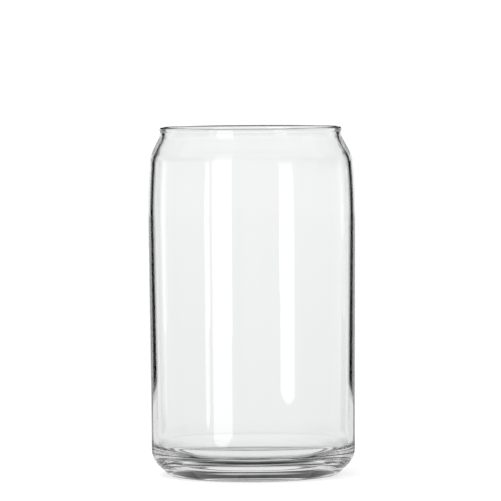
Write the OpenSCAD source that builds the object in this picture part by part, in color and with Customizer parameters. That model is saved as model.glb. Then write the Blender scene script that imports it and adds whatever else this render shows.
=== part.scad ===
// Can shaped drinking glass: one blown piece of clear glass, turned about the vertical axis.
// Its outline is a straight wall with a little draft, a long belly curve that rolls over a tight
// shoulder, a short flare that draws in to the neck, and a fire polished rim.
// The wall grows thicker downward and ends in a thick base with a rounded heel and a shallow punt.
// Millimetres, +Z up, origin at the middle of the foot.

/* [Body] */
// Height from the table to the top of the rim
glass_h = 133.4; // [115:0.2:150]
// Widest diameter, where the straight wall meets the belly curve
body_d = 79.4; // [77:0.2:88]
// How far the straight wall draws in at its foot, on the radius
draft = 0.65; // [0:0.05:1.5]

/* [Shoulder] */
// Radius of the long belly curve below the shoulder
belly_r = 260; // [150:5:330]
// Lean of the wall where the belly curve ends, in degrees from upright
belly_a = 4.7; // [2:0.1:6]
// Radius of the shoulder
shoulder_r = 10.4; // [5:0.2:14]
// Lean of the flare between shoulder and throat, in degrees from upright
flare_a = 27.4; // [22:0.2:36]
// Radius of the hollow throat below the neck
throat_r = 6.3; // [3:0.1:9]

/* [Neck and rim] */
// Diameter of the neck at its narrowest
neck_d = 69.4; // [62:0.2:71]
// Height of the neck, from the end of the throat to the top of the rim
neck_h = 1.7; // [1.4:0.1:6]
// How far the rim swells past the neck, on the radius
rim_swell = 0.2; // [0:0.05:0.8]
// Thickness of the rim, which is fully rounded
rim_t = 2.1; // [1.2:0.1:2.6]

/* [Wall] */
// Thickness of the wall at the neck
neck_t = 1.75; // [1:0.05:2.6]
// Thickness of the wall at the shoulder
shoulder_t = 1.05; // [0.9:0.05:2.2]
// Thickness at the top of the straight wall
upper_t = 1.7; // [0.9:0.05:2.4]
// Thickness at the bottom of the straight wall
lower_t = 2.35; // [1.2:0.05:3]

/* [Base] */
// Height of the inside floor above the table
floor_h = 7.1; // [5:0.1:14]
// Radius between the inside floor and the wall
floor_r = 6.2; // [2:0.2:12]
// Width of the heel's slope, on the radius
heel_w = 6.8; // [4:0.1:10]
// Height of the heel's slope
heel_h = 6.5; // [4:0.1:9]
// Radius between the heel's slope and the wall
heel_r = 8.8; // [2:0.1:9]
// Radius between the heel's slope and the bearing ring
foot_r = 2.9; // [0.5:0.1:4]
// Width of the flat bearing ring that the glass stands on
ring_w = 1.5; // [0.8:0.1:4]
// Rise of the bearing ring's inner slope
step_h = 1.4; // [0.4:0.1:1.5]
// Radius where the inner slope meets the ring and the punt
step_r = 0.9; // [0.2:0.1:1]
// Height of the punt's middle above the table
punt_h = 2; // [1.8:0.1:4.5]

/* [Hidden] */
// Turn of one straight piece of a curve in the outline, and the fewest pieces in a curve
arc_step = 6;
arc_min = 3;
$fn = 128;

body_r = body_d / 2;
neck_r = neck_d / 2;
rim_r = neck_r + rim_swell;
neck_z = glass_h - neck_h;

// Corners of the base before they are rounded, from the middle outward
foot_x = body_r - draft - heel_w;
ring_x = foot_x - foot_r * tan(atan2(heel_h, heel_w) / 2) - ring_w - step_r * tan(45 / 2);
step_x = ring_x - step_h;
punt_r = (pow(step_x, 2) + pow(punt_h - step_h, 2)) / (2 * (punt_h - step_h));
punt_a = asin(step_x / punt_r);

function arc_n(turn) = max(arc_min, ceil(abs(turn) / arc_step));

// Points of an arc about the middle m, from angle a to angle b
function arc(m, r, a, b) =
    let (n = arc_n(b - a))
    [for (i = [0 : n]) m + r * [cos(a + (b - a) * i / n), sin(a + (b - a) * i / n)]];

// The same points without the first, where one curve runs on from another
function rest(points) = [for (i = [1 : len(points) - 1]) points[i]];

function toward(a, b) = (b - a) / norm(b - a);

// Points that round the corner b, between straight runs from a and to c
function rounded(a, b, c, r) =
    let (
        u = toward(b, a),
        v = toward(b, c),
        half = acos(u * v) / 2,
        m = b + toward([0, 0], u + v) * r / sin(half),
        start = b + u * r / tan(half) - m,
        end = b + v * r / tan(half) - m,
        from = atan2(start[1], start[0]),
        turn = atan2(start[0] * end[1] - start[1] * end[0], start * end)
    )
    arc(m, r, from, from + turn);

// Belly, shoulder, flare and throat, from the top of the straight wall up to the neck.
// The flare is as long as the difference between wall and neck leaves it.
function upper_run(wall_x, neck_x, belly_r, shoulder_r, throat_r) =
    let (
        inward = [cos(flare_a), sin(flare_a)],
        curves = belly_r * (1 - cos(belly_a))
            + shoulder_r * (cos(belly_a) - cos(flare_a))
            + throat_r * (1 - cos(flare_a)),
        flare_l = (wall_x - neck_x - curves) / sin(flare_a),
        throat_m = [neck_x + throat_r, neck_z],
        flare_top = throat_m - throat_r * inward,
        flare_foot = flare_top + flare_l * [sin(flare_a), -cos(flare_a)],
        shoulder_m = flare_foot - shoulder_r * inward,
        belly_m = shoulder_m - (belly_r - shoulder_r) * [cos(belly_a), sin(belly_a)]
    )
    concat(
        arc(belly_m, belly_r, 0, belly_a),
        rest(arc(shoulder_m, shoulder_r, belly_a, flare_a)),
        arc(throat_m, throat_r, 180 + flare_a, 180)
    );

// Underside and outside, from the middle of the punt up to the neck
function outside() =
    let (
        run = upper_run(body_r, neck_r, belly_r, shoulder_r, throat_r),
        punt = arc([0, punt_h - punt_r], punt_r, 90, 90 - punt_a),
        step = [step_x, step_h],
        ring = [ring_x, 0],
        foot = [foot_x, 0],
        heel = [body_r - draft, heel_h]
    )
    concat(
        [for (p = punt) if (p[0] < step_x - step_r) p],
        rounded([0, step_h], step, ring, step_r),
        rounded(step, ring, foot, step_r),
        rounded(ring, foot, heel, foot_r),
        rounded(foot, heel, run[0], heel_r),
        run
    );

// Rim, rounded over from the outside to the inside
function rim() = arc([rim_r - rim_t / 2, glass_h - rim_t / 2], rim_t / 2, 0, 180);

// Inside, from the middle of the floor up to the neck
function inside() =
    let (
        run = upper_run(
            body_r - upper_t, neck_r - neck_t,
            belly_r - upper_t, shoulder_r - shoulder_t, throat_r + neck_t
        ),
        middle = [0, floor_h],
        corner = [body_r - draft - lower_t, floor_h]
    )
    concat([middle], rounded(middle, corner, run[0], floor_r), run);

function backward(points) = [for (i = [len(points) - 1 : -1 : 0]) points[i]];

module glass_body() {
    color([0.93, 0.95, 0.95, 0.35])
        rotate_extrude()
            polygon(concat(outside(), rim(), backward(inside())));
}

glass_body();
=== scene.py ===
import math

import bpy
import numpy as np
from mathutils import Matrix, Vector


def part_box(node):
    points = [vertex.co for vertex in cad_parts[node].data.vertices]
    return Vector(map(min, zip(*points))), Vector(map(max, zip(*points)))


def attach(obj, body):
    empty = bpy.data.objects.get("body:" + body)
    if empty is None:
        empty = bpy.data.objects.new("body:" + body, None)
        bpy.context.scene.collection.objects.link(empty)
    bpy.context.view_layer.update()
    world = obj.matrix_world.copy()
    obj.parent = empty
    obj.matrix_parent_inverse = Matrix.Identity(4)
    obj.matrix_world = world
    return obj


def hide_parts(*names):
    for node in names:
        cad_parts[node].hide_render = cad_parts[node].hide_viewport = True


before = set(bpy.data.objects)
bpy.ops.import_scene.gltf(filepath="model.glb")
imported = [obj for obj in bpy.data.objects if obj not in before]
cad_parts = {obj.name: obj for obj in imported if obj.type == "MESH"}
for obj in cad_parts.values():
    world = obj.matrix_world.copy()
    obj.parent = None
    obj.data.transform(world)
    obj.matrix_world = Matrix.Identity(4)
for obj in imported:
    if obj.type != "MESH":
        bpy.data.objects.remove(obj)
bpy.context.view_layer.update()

MM = 0.001

# The glass, in metres and degrees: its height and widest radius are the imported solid's own
LOW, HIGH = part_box("glass_body")
HEIGHT = HIGH[2] - LOW[2]
BODY_RADIUS = (HIGH[0] - LOW[0]) / 2
DRAFT = 0.65 * MM
BELLY_RADIUS, BELLY_LEAN = 260 * MM, 4.7
SHOULDER_RADIUS, FLARE_LEAN = 10.4 * MM, 27.4
THROAT_RADIUS = 6.3 * MM
NECK_RADIUS, NECK_HEIGHT = 34.7 * MM, 1.7 * MM
RIM_SWELL, RIM_THICKNESS = 0.2 * MM, 2.1 * MM
NECK_WALL, SHOULDER_WALL = 1.75 * MM, 1.05 * MM
UPPER_WALL, LOWER_WALL = 1.7 * MM, 2.35 * MM
FLOOR_HEIGHT, FLOOR_ROUND = 7.1 * MM, 6.2 * MM
HEEL_WIDTH, HEEL_HEIGHT, HEEL_ROUND = 6.8 * MM, 6.5 * MM, 8.8 * MM
FOOT_ROUND, RING_WIDTH = 2.9 * MM, 1.5 * MM
STEP_HEIGHT, STEP_ROUND, PUNT_HEIGHT = 1.4 * MM, 0.9 * MM, 2.0 * MM

# The neck sits a little to one side, as the blown glass in the photograph does: how far, from which
# height on, and the height over which it moves there
NECK_OFFSET, OFFSET_FROM, OFFSET_RISE = -0.29 * MM, 117 * MM, 9 * MM

# Turn of one straight piece of a curve, in degrees, and the spacing of the rings on the straight runs
CURVE_TURN, BELLY_TURN, PUNT_TURN, RIM_TURN = 3.0, 0.35, 0.8, 9
FLARE_SPACING, HEEL_SPACING, WALL_SPACING, FLOOR_SPACING = 1 * MM, 1.2 * MM, 3 * MM, 4 * MM
FEWEST_PIECES = 3
SEGMENTS = 376

# Clear soda lime glass, with a faint waviness drawn out along the axis and an even fainter haze
GLASS_COLOUR, GLASS_IOR = (0.985, 0.99, 0.99, 1), 1.52
WAVE_SCALE, WAVE_DEPTH = (36.0, 36.0, 12.0), 0.015 * MM
HAZE_SCALE, HAZE_ROUGHNESS = 55.0, 0.012

# The photograph's viewpoint: metres, degrees, and the focal length in pixels of a 501 pixel frame
FRAME_PIXELS, SENSOR_WIDTH = 501, 36
CAMERA_DISTANCE, CAMERA_HEIGHT, CAMERA_SIDE = 1.8, 0.16995, -0.0006
CAMERA_PITCH, CAMERA_ROLL = 2.670, -0.39
FOCAL_PIXELS = 4705.7

# The room that the glass sees: from each azimuth outward, in degrees from straight behind the glass,
# pairs of elevation in degrees and light level, of which RAMP_TOP is the highest that a ramp can give
RAMP_TOP = 2.0
ZONE_EDGE = 1
ROOM = [
    # Straight behind, the dark dip from -66 to -42 degrees is painted shade: the table's shade under the
    # glass, seen through its base
    (0, [(-90, 0.6), (-72, 0.85), (-66, 0.1), (-60, 0.0), (-47, 0.03), (-42, 0.1), (-36, 0.3),
         (-31, 0.5), (-23, 0.8), (-8, 0.8), (-5, 0.88), (-2, 0.95), (9, 0.92), (12, 0.8), (25, 0.8),
         (36, 0.85), (46, 0.5), (60, 0.0)]),
    (20.5, [(-90, 0.6), (-60, 0.4), (-40, 0.5), (-22, 0.8), (-12, 0.75), (-3.6, 0.75), (-2.8, 0.0),
            (2, 0.0), (3.5, 0.8), (11, 0.75), (30, 0.8), (46, 0.4), (60, 0.0)]),
    (40, [(-90, 0.6), (-60, 0.9), (-40, 1.1), (-28, 0.9), (-18, 0.6), (-14, 0.4), (-8, 0.4),
          (-6, 0.8), (-5.0, 0.95), (4, 0.9), (34, 0.7), (46, 0.4), (60, 0.0)]),
    (68, [(-90, 1.2), (-44, 1.4), (-26, 1.1), (-20, 0.5), (-16, 0.35), (-9, 0.35), (-6, 0.8),
          (2, 0.75), (10, 0.7), (30, 0.6), (50, 0.3), (60, 0.0)]),
    (92, [(-90, 1.3), (-50, 1.3), (-30, 0.8), (-20, 0.5), (-14, 0.45), (-8, 0.8), (2, 0.75),
          (14, 0.6), (46, 0.5), (60, 0.0)]),
    (122, [(-90, 1.3), (-56, 1.2), (-34, 0.7), (-22, 0.6), (-14, 0.85), (-6, 0.9), (-1, 0.75),
           (14, 0.75), (34, 0.75), (58, 0.5), (75, 0.0)]),
]

# Painted dark reflections in the glass, on both sides alike: patches of the room darkened only for rays that
# have met a set number of surfaces. Their columns: nearest and farthest azimuth, lower and upper elevation,
# the fewest and most surfaces that a ray has met, counting the air it ends in, and the share of light held
# back
PAINTED_DARK_REFLECTIONS = [
    (25, 42, 2, 15, 2, 4, 0.98),        # dark line down the sides of neck and shoulder
    (-5, 29, 4, 22, 2, 2, 0.95),        # ends of the rim
    (-5, 29, 22, 50, 2, 2, 0.6),        # the same, higher up
    (-5, 45, -50, -24, 3, 3, 0.6),      # far line of the rim
    # painted shade of the table under the glass, seen through the base
    (-5, 24, -95, -30, 4, 4, 0.97),     # dark band of the base
    (-5, 48, 4.5, 8.5, 5, 12, 0.95),    # dark line of the foot
    (-5, 48, 0.4, 3.1, 6, 12, 0.75),    # its lower edge
    (22, 68, 13, 50, 5, 5, 0.9),        # ends of the band, toward the sides
    (22, 68, 20, 50, 6, 6, 0.8),
    (22, 68, 9, 50, 7, 9, 0.8),
    (-5, 190, -95, 95, 10, 60, 0.97),   # rays caught in the corners of the heel
]
DARK_REFLECTION_SIDES, DARK_REFLECTION_FOOT = 1.5, 0.5
# Painted dark reflections with sharper edges, which draw the dark line of the wall and end it above the base
WALL_TOP = -2.3
PAINTED_WALL_LINES = [
    (20.5, 41, -4.71, WALL_TOP, 2, 2, 1.0),
    (20.5, 41, -5.49, WALL_TOP, 4, 4, 1.0),
    (20.5, 41, -5.72, WALL_TOP, 5, 5, 1.0),
    (19, 41, -6.27, WALL_TOP, 6, 6, 1.0),
    (15.5, 23.5, -8, WALL_TOP, 2, 2, 0.8),      # thin line below that
    (11, 18.5, -8, WALL_TOP, 4, 4, 0.8),
]
LINE_SIDES, LINE_FOOT = 0.7, 0.04
DARK_REFLECTION_TOP = 0.5

# Painted highlights in the glass, as tall panels with rounded feet that fade upward, which only rays that
# come by way of the glass see, so that they light nothing: middle azimuth, half width, lower and upper
# elevation in degrees, and level. Rays that have passed through more glass don't see them.
PAINTED_HIGHLIGHTS = [
    (146, 11, -5.84, 62, 3.2),
    (128.3, 2.4, -5.56, 22, 3.0),
    (-140.6, 8.4, -5.3, 22, 3.2),
    (61.5, 4.5, -5.1, 20, 0.6),
    (-56, 4.5, -3.9, 20, 0.6),
]
HIGHLIGHT_SIDES, HIGHLIGHT_FOOT, HIGHLIGHT_ROUND, HIGHLIGHT_FADE_FROM, HIGHLIGHT_PASSES = 0.5, 0.03, 0.12, -2.0, 3

# The room's light on the floor, the floor's grey and glow, and how far the floor reaches
SOFT_LIGHT = 0.9
FLOOR_GREY, FLOOR_GLOW, FLOOR_REACH = 0.4, 0.72, 40.0
# A pale card on the floor behind the foot, seen through the glass: half width, and near and far edge
CARD_LEVEL = 0.88
CARD_SIDE, CARD_NEAR, CARD_FAR = (0.04, 0.06), (0.036, 0.05), (0.098, 0.118)

# Surfaces that light is followed through, so that it comes out of the thick heel again
BOUNCES = 48


def unit(angle):
    """Direction of an angle in degrees, in the half section's plane."""
    return np.array([math.cos(math.radians(angle)), math.sin(math.radians(angle))])


def arc(middle, radius, start, end, step=CURVE_TURN):
    """Points at a constant distance from the middle, evenly turned from one angle to the other."""
    count = max(FEWEST_PIECES, math.ceil(abs(end - start) / step))
    turn = np.radians(np.linspace(start, end, count + 1))
    return np.asarray(middle) + radius * np.stack([np.cos(turn), np.sin(turn)], axis=1)


def run(start, end, spacing):
    """Evenly spaced points strictly between two ends of a straight line."""
    start, end = np.asarray(start), np.asarray(end)
    count = max(1, math.ceil(np.linalg.norm(end - start) / spacing))
    share = np.arange(1, count)[:, None] / count
    return start + (end - start) * share


def rounded(before, corner, after, radius):
    """The arc that touches both straight runs to the corner, at the radius's distance from each."""
    before, corner, after = (np.asarray(p, dtype=float) for p in (before, corner, after))
    back = (before - corner) / np.linalg.norm(before - corner)
    ahead = (after - corner) / np.linalg.norm(after - corner)
    half = math.acos(back @ ahead) / 2
    middle = corner + (back + ahead) / np.linalg.norm(back + ahead) * radius / math.sin(half)
    start = corner + back * radius / math.tan(half) - middle
    end = corner + ahead * radius / math.tan(half) - middle
    first = math.degrees(math.atan2(start[1], start[0]))
    turn = math.degrees(math.atan2(start[0] * end[1] - start[1] * end[0], start @ end))
    return arc(middle, radius, first, first + turn)


def upper_run(wall, neck, belly, shoulder, throat):
    """Belly, shoulder, flare and throat: arcs that touch each other, with the flare straight between."""
    inward = unit(FLARE_LEAN)
    lean = unit(BELLY_LEAN)
    curves = belly * (1 - lean[0]) + shoulder * (lean[0] - inward[0]) + throat * (1 - inward[0])
    flare = (wall - neck - curves) / inward[1]
    throat_middle = np.array([neck + throat, HEIGHT - NECK_HEIGHT])
    flare_top = throat_middle - throat * inward
    flare_foot = flare_top + flare * np.array([inward[1], -inward[0]])
    shoulder_middle = flare_foot - shoulder * inward
    belly_middle = shoulder_middle - (belly - shoulder) * lean
    return np.concatenate([
        arc(belly_middle, belly, 0, BELLY_LEAN, BELLY_TURN),
        arc(shoulder_middle, shoulder, BELLY_LEAN, FLARE_LEAN)[1:],
        run(flare_foot, flare_top, FLARE_SPACING),
        arc(throat_middle, throat, 180 + FLARE_LEAN, 180),
    ])


def glass_section():
    """The closed half section: punt, bearing ring, heel, wall, shoulder, rim, and back down the inside."""
    foot = [BODY_RADIUS - DRAFT - HEEL_WIDTH, 0]
    slope = math.atan2(HEEL_HEIGHT, HEEL_WIDTH)
    ring_edge = foot[0] - FOOT_ROUND * math.tan(slope / 2) - RING_WIDTH - STEP_ROUND * math.tan(math.pi / 8)
    ring = [ring_edge, 0]
    step = [ring_edge - STEP_HEIGHT, STEP_HEIGHT]
    rise = PUNT_HEIGHT - STEP_HEIGHT
    punt_radius = (step[0] ** 2 + rise ** 2) / (2 * rise)
    punt_turn = math.degrees(math.asin(step[0] / punt_radius))
    punt = arc([0, PUNT_HEIGHT - punt_radius], punt_radius, 90, 90 - punt_turn, PUNT_TURN)
    heel = [BODY_RADIUS - DRAFT, HEEL_HEIGHT]
    outer = upper_run(BODY_RADIUS, NECK_RADIUS, BELLY_RADIUS, SHOULDER_RADIUS, THROAT_RADIUS)
    inner = upper_run(BODY_RADIUS - UPPER_WALL, NECK_RADIUS - NECK_WALL, BELLY_RADIUS - UPPER_WALL,
                      SHOULDER_RADIUS - SHOULDER_WALL, THROAT_RADIUS + NECK_WALL)
    heel_arc = rounded(foot, heel, outer[0], HEEL_ROUND)
    foot_arc = rounded(ring, foot, heel, FOOT_ROUND)
    half_rim = RIM_THICKNESS / 2
    rim = arc([NECK_RADIUS + RIM_SWELL - half_rim, HEIGHT - half_rim], half_rim, 0, 180, RIM_TURN)
    corner = [BODY_RADIUS - DRAFT - LOWER_WALL, FLOOR_HEIGHT]
    floor_arc = rounded([0, FLOOR_HEIGHT], corner, inner[0], FLOOR_ROUND)
    return np.concatenate([
        punt[punt[:, 0] < step[0] - STEP_ROUND],
        rounded([0, STEP_HEIGHT], step, ring, STEP_ROUND),
        rounded(step, ring, foot, STEP_ROUND),
        foot_arc,
        run(foot_arc[-1], heel_arc[0], HEEL_SPACING),
        heel_arc,
        run(heel_arc[-1], outer[0], WALL_SPACING),
        outer,
        rim,
        inner[::-1],
        run(inner[0], floor_arc[-1], WALL_SPACING),
        floor_arc[::-1],
        run(floor_arc[0], [0, FLOOR_HEIGHT], FLOOR_SPACING),
        [[0, FLOOR_HEIGHT]],
    ])


def turned(section):
    """Carries the half section round the axis: x = r cos u, y = r sin u, z = z, with one point at each
    pole, and adds the neck's offset to x, which grows evenly over its rise."""
    middle = section[1:-1]
    turn = np.linspace(0, 2 * math.pi, SEGMENTS, endpoint=False)
    shift = NECK_OFFSET * np.clip((middle[:, 1:] - OFFSET_FROM) / OFFSET_RISE, 0, 1)
    points = np.stack([
        shift + middle[:, :1] * np.cos(turn),
        middle[:, :1] * np.sin(turn),
        np.repeat(middle[:, 1:], SEGMENTS, axis=1),
    ], axis=-1).reshape(-1, 3)
    poles = np.array([[0, 0, section[0, 1]], [0, 0, section[-1, 1]]])
    rows, around = np.arange(len(middle) - 1)[:, None] * SEGMENTS, np.arange(SEGMENTS)
    above = rows + SEGMENTS
    ahead = (around + 1) % SEGMENTS
    quads = np.stack([rows + around, rows + ahead, above + ahead, above + around], axis=-1)
    bottom = np.stack([np.full(SEGMENTS, len(points)), ahead, around], axis=-1)
    last = (len(middle) - 1) * SEGMENTS
    top = np.stack([np.full(SEGMENTS, len(points) + 1), last + around, last + ahead], axis=-1)
    faces = quads.reshape(-1, 4).tolist() + bottom.tolist() + top.tolist()
    return np.concatenate([points, poles]), faces


def add_mesh(name, points, faces, material):
    """A smooth shaded mesh object at the origin, with its place in its points."""
    mesh = bpy.data.meshes.new(name)
    mesh.from_pydata(points, [], faces)
    mesh.polygons.foreach_set("use_smooth", [True] * len(mesh.polygons))
    mesh.materials.append(material)
    mesh.update()
    piece = bpy.data.objects.new(name, mesh)
    bpy.context.scene.collection.objects.link(piece)
    return piece


class Shade:
    """A shader socket that takes part in Python expressions, each operator adding its Math node."""

    def __init__(self, tree, socket):
        self.tree, self.socket = tree, socket

    def output(self, key):
        """Another output of the node that this socket is on, by name or place."""
        return Shade(self.tree, self.socket.node.outputs[key])

    def math(self, operation, *others):
        """The Math node of an operation on this socket and the others, in that order."""
        return node(self.tree, "ShaderNodeMath", {"operation": operation}, self, *others)

    def after(self, operation, other):
        """The Math node of an operation on another value and this socket, in that order."""
        return node(self.tree, "ShaderNodeMath", {"operation": operation}, other, self)

    def __add__(self, other):
        return self.math("ADD", other)

    def __radd__(self, other):
        return self.after("ADD", other)

    def __sub__(self, other):
        return self.math("SUBTRACT", other)

    def __rsub__(self, other):
        return self.after("SUBTRACT", other)

    def __mul__(self, other):
        return self.math("MULTIPLY", other)

    def __rmul__(self, other):
        return self.after("MULTIPLY", other)

    def __truediv__(self, other):
        return self.math("DIVIDE", other)

    def __rtruediv__(self, other):
        return self.after("DIVIDE", other)


def node(tree, kind, settings=None, *values, output=0, **named):
    """Adds a node: its settings first, with a ramp's stops as pairs of position and grey, and then the
    values or links of its sockets, by place or by name."""
    made = tree.nodes.new(kind)
    for key, value in (settings or {}).items():
        if key == "stops":
            stops = made.color_ramp.elements
            for place, (position, grey) in enumerate(value):
                stop = stops[place] if place < 2 else stops.new(position)
                stop.position = position
                stop.color = (grey, grey, grey, 1)
        else:
            setattr(made, key, value)
    sockets = list(enumerate(values)) + [(key.replace("_", " "), value) for key, value in named.items()]
    for key, value in sockets:
        if isinstance(value, Shade):
            tree.links.new(value.socket, made.inputs[key])
        elif value is not None:
            made.inputs[key].default_value = value
    return Shade(tree, made.outputs[output])


def step_up(value, low, high):
    """0 below low, 1 above high, and smooth between."""
    smooth = {"interpolation_type": "SMOOTHSTEP"}
    return node(value.tree, "ShaderNodeMapRange", smooth, value, low, high, 0.0, 1.0)


def between(value, low, high, soft_low, soft_high):
    """1 from low to high and 0 outside, each end smooth over its own softness to either side."""
    reached = step_up(value, low - soft_low, low + soft_low)
    return reached * (1 - step_up(value, high - soft_high, high + soft_high))


def ramp(height, curve):
    """The light of a curve, given as pairs of elevation in degrees and level, at a direction's elevation."""
    stops = [((elevation + 90) / 180, level / RAMP_TOP) for elevation, level in curve]
    return RAMP_TOP * node(height.tree, "ShaderNodeValToRGB", {"stops": stops}, (height + 90) / 180)


def clear_glass():
    """Clear glass whose blown surface has a faint, drawn out waviness and an even fainter handling haze."""
    material = bpy.data.materials.new("clear_glass")
    material.use_nodes = True
    tree = material.node_tree
    shader = tree.nodes["Principled BSDF"]
    shader.inputs["Base Color"].default_value = GLASS_COLOUR
    shader.inputs["Transmission Weight"].default_value = 1
    shader.inputs["IOR"].default_value = GLASS_IOR
    place = node(tree, "ShaderNodeTexCoord", output="Object")
    drawn = node(tree, "ShaderNodeVectorMath", {"operation": "MULTIPLY"}, place, WAVE_SCALE)
    wave = node(tree, "ShaderNodeTexNoise", Vector=drawn, Scale=1.0, Detail=1.0)
    normal = node(tree, "ShaderNodeBump", Strength=1.0, Distance=WAVE_DEPTH, Height=wave)
    tree.links.new(normal.socket, shader.inputs["Normal"])
    haze = node(tree, "ShaderNodeTexNoise", Vector=place, Scale=HAZE_SCALE, Detail=3.0)
    roughness = node(tree, "ShaderNodeMapRange", None, haze, 0.45, 0.8, 0.0, HAZE_ROUGHNESS)
    tree.links.new(roughness.socket, shader.inputs["Roughness"])
    return material


def studio():
    """White backdrop to the camera; to the glass, a pale room with painted dark reflections and tall painted
    highlight panels.
    """
    world = bpy.data.worlds.new("studio")
    bpy.context.scene.world = world
    world.use_nodes = True
    tree = world.node_tree
    shader = tree.nodes["Background"]
    shader.inputs["Color"].default_value = (1, 1, 1, 1)

    # The direction's azimuth from straight behind the glass, and its elevation, in degrees
    east = node(tree, "ShaderNodeSeparateXYZ", None, node(tree, "ShaderNodeTexCoord"))
    north, up = east.output(1), east.output(2)
    level = (east * east + north * north).math("SQRT")
    azimuth = (-1 * east).math("ARCTAN2", north) * (180 / math.pi)
    height = up.math("ARCTAN2", level) * (180 / math.pi)
    aside = azimuth.math("ABSOLUTE")

    light = ramp(height, ROOM[0][1])
    for edge, curve in ROOM[1:]:
        beyond = step_up(aside, edge - ZONE_EDGE, edge + ZONE_EDGE)
        light = light + beyond * (ramp(height, curve) - light)

    path = node(tree, "ShaderNodeLightPath")
    met = path.output("Ray Depth")
    # Painted dark reflections: the room is darkened where only rays that have met a set number of surfaces
    # look
    for dark_reflections, sides, foot in ((PAINTED_DARK_REFLECTIONS, DARK_REFLECTION_SIDES, DARK_REFLECTION_FOOT), (PAINTED_WALL_LINES, LINE_SIDES, LINE_FOOT)):
        for near, far, low, high, fewest, most, held in dark_reflections:
            dark_reflection = between(aside, near, far, sides, sides) * between(height, low, high, foot, DARK_REFLECTION_TOP)
            dark_reflection = dark_reflection * met.math("GREATER_THAN", fewest - 0.5) * met.math("LESS_THAN", most + 0.5)
            light = light * (1 - held * dark_reflection)

    # Painted highlights: tall panels of light in the room that only glossy and transmission rays see
    front = path.output("Transmission Depth").math("LESS_THAN", HIGHLIGHT_PASSES)
    for middle, half, low, high, bright in PAINTED_HIGHLIGHTS:
        off = (azimuth - middle).math("ABSOLUTE")
        raised = height - HIGHLIGHT_ROUND * (off / half) * (off / half)
        highlight = 1 - step_up(off, half - HIGHLIGHT_SIDES, half + HIGHLIGHT_SIDES)
        highlight = highlight * step_up(raised, low - HIGHLIGHT_FOOT, low + HIGHLIGHT_FOOT)
        fade = node(tree, "ShaderNodeMapRange", None, height, HIGHLIGHT_FADE_FROM, high, 1.0, 0.0)
        light = light + front * bright * highlight * fade * fade

    camera, diffuse = path.output("Is Camera Ray"), path.output("Is Diffuse Ray")
    plain = camera.math("MAXIMUM", diffuse)
    strength = plain * (camera + diffuse * SOFT_LIGHT) + (1 - plain) * light
    tree.links.new(strength.socket, shader.inputs["Strength"])


def table():
    """A wide pale floor: white to the camera, with a soft shadow, and open to the room for the glass."""
    material = bpy.data.materials.new("pale_floor")
    material.use_nodes = True
    tree = material.node_tree
    shader = tree.nodes["Principled BSDF"]
    shader.inputs["Base Color"].default_value = (FLOOR_GREY, FLOOR_GREY, FLOOR_GREY, 1)
    shader.inputs["Roughness"].default_value = 1
    shader.inputs["Specular IOR Level"].default_value = 0
    glow = node(tree, "ShaderNodeEmission", None, (1, 1, 1, 1), FLOOR_GLOW)
    pale = node(tree, "ShaderNodeAddShader", None, Shade(tree, shader.outputs[0]), glow)

    along = node(tree, "ShaderNodeSeparateXYZ", None, node(tree, "ShaderNodeNewGeometry"))
    aside, back = along.math("ABSOLUTE"), along.output(1)
    card = (1 - step_up(aside, *CARD_SIDE)) * step_up(back, *CARD_NEAR) * (1 - step_up(back, *CARD_FAR))
    white = node(tree, "ShaderNodeEmission", None, (1, 1, 1, 1), CARD_LEVEL)
    clear = node(tree, "ShaderNodeBsdfTransparent")
    open_floor = node(tree, "ShaderNodeMixShader", None, card, clear, white)

    path = node(tree, "ShaderNodeLightPath")
    by_glass = path.output("Is Glossy Ray").math("MAXIMUM", path.output("Is Transmission Ray"))
    mixed = node(tree, "ShaderNodeMixShader", None, by_glass, pale, open_floor)
    tree.links.new(mixed.socket, tree.nodes["Material Output"].inputs[0])
    reach = FLOOR_REACH
    corners = [(-reach, -reach, 0), (reach, -reach, 0), (reach, reach, 0), (-reach, reach, 0)]
    add_mesh("floor", corners, [(0, 1, 2, 3)], material)


def lamp(name, place, target, size, power):
    """A round soft lamp that is aimed at the target and that neither the camera nor the glass sees."""
    light = bpy.data.lights.new(name, "AREA")
    light.shape = "DISK"
    light.size = size
    light.energy = power
    lit = bpy.data.objects.new(name, light)
    bpy.context.scene.collection.objects.link(lit)
    lit.location = place
    lit.rotation_mode = "QUATERNION"
    lit.rotation_quaternion = (Vector(target) - Vector(place)).to_track_quat("-Z", "Y")
    lit.visible_camera = False
    lit.visible_glossy = False
    lit.visible_transmission = False


def camera():
    """The photograph's viewpoint: pitched down and rolled about the line of sight."""
    data = bpy.data.cameras.new("camera")
    data.sensor_width = SENSOR_WIDTH
    data.lens = SENSOR_WIDTH * FOCAL_PIXELS / FRAME_PIXELS
    data.clip_end = 100
    eye = bpy.data.objects.new("camera", data)
    bpy.context.scene.collection.objects.link(eye)
    pitch, roll = math.radians(CAMERA_PITCH), math.radians(CAMERA_ROLL)
    ahead = np.array([0, math.cos(pitch), -math.sin(pitch)])
    up = np.array([0, math.sin(pitch), math.cos(pitch)])
    side = np.array([1.0, 0, 0])
    right = side * math.cos(roll) + up * math.sin(roll)
    over = up * math.cos(roll) - side * math.sin(roll)
    place = Matrix(np.stack([right, over, -ahead], axis=1).tolist()).to_4x4()
    place.translation = (CAMERA_SIDE, -CAMERA_DISTANCE, CAMERA_HEIGHT)
    eye.matrix_world = place
    bpy.context.scene.camera = eye


camera()
studio()
table()
lamp("overhead", (-0.5, -0.4, 1.6), (0, 0, 0.05), 1.2, 12)

glass = add_mesh("glass", *turned(glass_section()), clear_glass())
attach(glass, "root")
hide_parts("glass_body")

cycles = bpy.context.scene.cycles
cycles.max_bounces = BOUNCES
cycles.glossy_bounces = BOUNCES
cycles.transmission_bounces = BOUNCES
bpy.context.scene.view_settings.view_transform = "Standard"
